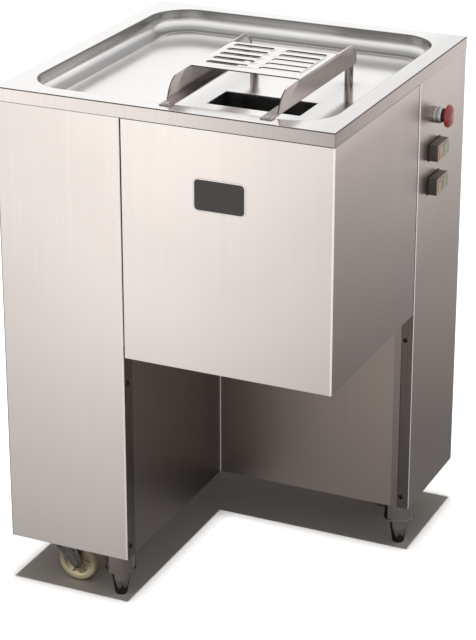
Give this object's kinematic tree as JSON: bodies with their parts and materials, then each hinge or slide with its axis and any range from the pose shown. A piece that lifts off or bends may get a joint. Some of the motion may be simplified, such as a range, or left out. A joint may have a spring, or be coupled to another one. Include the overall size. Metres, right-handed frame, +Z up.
{
  "type": "meat slicer",
  "caption": "Floor-standing steel meat slicer with a deep feeding tray, a slotted guard over meshing round blades, a swinging hood door above an open bay, casters and levelling feet.",
  "frame": {"origin": "on the floor, at the middle of the machine's bounding box", "axes": "+X to the machine's right, where the controls are; +Y to its back; +Z up"},
  "size_m": [0.632, 0.61, 0.936],
  "materials": {
    "brushed_stainless": "vertical brushed sheet",
    "drawn_stainless": "polished drawn sheet",
    "frame_steel": "mill finish tube",
    "blade_steel": "ground and polished",
    "machined_steel": "turned bright steel",
    "cast_aluminium": "sand cast, satin",
    "bronze": "turned",
    "black_rubber": "moulded",
    "grey_paint": "enamel",
    "cast_iron": "cast, machined faces",
    "red_plastic": "moulded gloss",
    "green_plastic": "moulded translucent",
    "pale_red_plastic": "moulded translucent",
    "black_plastic": "moulded",
    "cream_nylon": "moulded nylon",
    "grey_plastic": "moulded housing",
    "magnet_black": "moulded housing"
  },
  "bodies": {
    "cabinet": {"tray_top": "drawn_stainless", "left_front_panel": "brushed_stainless", "left_side_panel": "brushed_stainless", "column_side_panel": "brushed_stainless", "bay_back_panel": "brushed_stainless", "right_side_panel": "brushed_stainless", "rear_panel": "brushed_stainless", "base_plate": "frame_steel", "main_frame": "frame_steel", "door_hinge_brackets": "machined_steel", "magnet_catch": "magnet_black", "guard_cover": "drawn_stainless", "guard_posts": "machined_steel", "guard_screws": "machined_steel", "feed_chute": "drawn_stainless", "outlet_chute": "drawn_stainless", "cutter_end_plates": "drawn_stainless", "blade_shaft_bushes": "bronze", "tie_rods": "machined_steel", "front_comb": "drawn_stainless", "rear_comb": "drawn_stainless", "bearing_housing": "cast_aluminium", "shaft_bearings": "machined_steel", "drive_belts": "black_rubber", "starter_box": "grey_plastic", "motor_body": "grey_paint", "motor_mount": "frame_steel", "estop_collar": "machined_steel", "switch_boxes": "black_plastic", "foot_sockets": "machined_steel", "cable_gland": "black_plastic", "caster_plates": "machined_steel", "panel_screws": "machined_steel"},
    "hood_door": {"hood_door": "brushed_stainless", "door_strike": "frame_steel"},
    "front_cutter": {"front_blade_shaft": "machined_steel", "front_blades": "blade_steel", "front_drive_shaft": "machined_steel", "front_gear": "machined_steel", "driven_pulley": "cast_iron"},
    "rear_cutter": {"rear_blade_shaft": "machined_steel", "rear_blades": "blade_steel", "rear_drive_shaft": "machined_steel", "rear_gear": "machined_steel"},
    "motor_rotor": {"motor_shaft": "machined_steel", "motor_pulley": "cast_iron"},
    "front_foot": {"front_foot": "machined_steel"},
    "right_foot": {"right_foot": "machined_steel"},
    "estop_plunger": {"estop_stem": "black_plastic"},
    "estop_head": {"estop_head": "red_plastic"},
    "upper_start_button": {"upper_start_button": "green_plastic"},
    "upper_stop_button": {"upper_stop_button": "pale_red_plastic"},
    "lower_start_button": {"lower_start_button": "green_plastic"},
    "lower_stop_button": {"lower_stop_button": "pale_red_plastic"},
    "front_left_swivel": {"front_left_fork": "machined_steel"},
    "front_left_wheel": {"front_left_wheel": "cream_nylon"},
    "rear_left_swivel": {"rear_left_fork": "machined_steel"},
    "rear_left_wheel": {"rear_left_wheel": "cream_nylon"},
    "rear_right_swivel": {"rear_right_fork": "machined_steel"},
    "rear_right_wheel": {"rear_right_wheel": "cream_nylon"}
  },
  "joints": [
    {"name": "door_swing", "type": "hinge", "parent": "cabinet", "child": "hood_door", "pos_m": [-0.082, -0.2995, 0.668], "axis": [0, 0, -1], "range_deg": [0, 95]},
    {"name": "front_cutter_turn", "type": "hinge", "parent": "cabinet", "child": "front_cutter", "pos_m": [0.072, -0.1435, 0.738], "axis": [1, 0, 0], "continuous": true},
    {"name": "rear_cutter_turn", "type": "hinge", "parent": "cabinet", "child": "rear_cutter", "pos_m": [0.072, -0.0595, 0.738], "axis": [1, 0, 0], "continuous": true},
    {"name": "motor_turn", "type": "hinge", "parent": "cabinet", "child": "motor_rotor", "pos_m": [-0.206, 0.1885, 0.2], "axis": [1, 0, 0], "continuous": true},
    {"name": "front_foot_height", "type": "slide", "parent": "cabinet", "child": "front_foot", "axis": [0, 0, 1], "range_m": [-0.015, 0.006]},
    {"name": "right_foot_height", "type": "slide", "parent": "cabinet", "child": "right_foot", "axis": [0, 0, 1], "range_m": [-0.015, 0.006]},
    {"name": "estop_press", "type": "slide", "parent": "cabinet", "child": "estop_plunger", "axis": [-1, 0, 0], "range_m": [0, 0.004]},
    {"name": "estop_twist", "type": "hinge", "parent": "estop_plunger", "child": "estop_head", "pos_m": [0.304, 0.15, 0.801], "axis": [1, 0, 0], "range_deg": [0, 30], "stiffness_Nm_per_rad": 0.3},
    {"name": "upper_start_press", "type": "slide", "parent": "cabinet", "child": "upper_start_button", "axis": [-1, 0, 0], "range_m": [0, 0.003], "stiffness_N_per_m": 800},
    {"name": "upper_stop_press", "type": "slide", "parent": "cabinet", "child": "upper_stop_button", "axis": [-1, 0, 0], "range_m": [0, 0.003], "stiffness_N_per_m": 800},
    {"name": "lower_start_press", "type": "slide", "parent": "cabinet", "child": "lower_start_button", "axis": [-1, 0, 0], "range_m": [0, 0.003], "stiffness_N_per_m": 800},
    {"name": "lower_stop_press", "type": "slide", "parent": "cabinet", "child": "lower_stop_button", "axis": [-1, 0, 0], "range_m": [0, 0.003], "stiffness_N_per_m": 800},
    {"name": "front_left_swivel", "type": "hinge", "parent": "cabinet", "child": "front_left_swivel", "pos_m": [-0.232, -0.259, 0.078], "axis": [0, 0, 1], "continuous": true},
    {"name": "front_left_roll", "type": "hinge", "parent": "front_left_swivel", "child": "front_left_wheel", "pos_m": [-0.204, -0.259, 0.0375], "axis": [0, 1, 0], "continuous": true},
    {"name": "rear_left_swivel", "type": "hinge", "parent": "cabinet", "child": "rear_left_swivel", "pos_m": [-0.232, 0.225, 0.078], "axis": [0, 0, 1], "continuous": true},
    {"name": "rear_left_roll", "type": "hinge", "parent": "rear_left_swivel", "child": "rear_left_wheel", "pos_m": [-0.204, 0.225, 0.0375], "axis": [0, 1, 0], "continuous": true},
    {"name": "rear_right_swivel", "type": "hinge", "parent": "cabinet", "child": "rear_right_swivel", "pos_m": [0.154, 0.225, 0.078], "axis": [0, 0, 1], "continuous": true},
    {"name": "rear_right_roll", "type": "hinge", "parent": "rear_right_swivel", "child": "rear_right_wheel", "pos_m": [0.182, 0.225, 0.0375], "axis": [0, 1, 0], "continuous": true}
  ],
  "couplings": [
    {"joint": "rear_cutter_turn", "follows": "front_cutter_turn", "ratio": -1},
    {"joint": "motor_turn", "follows": "front_cutter_turn", "ratio": 2.2222}
  ]
}
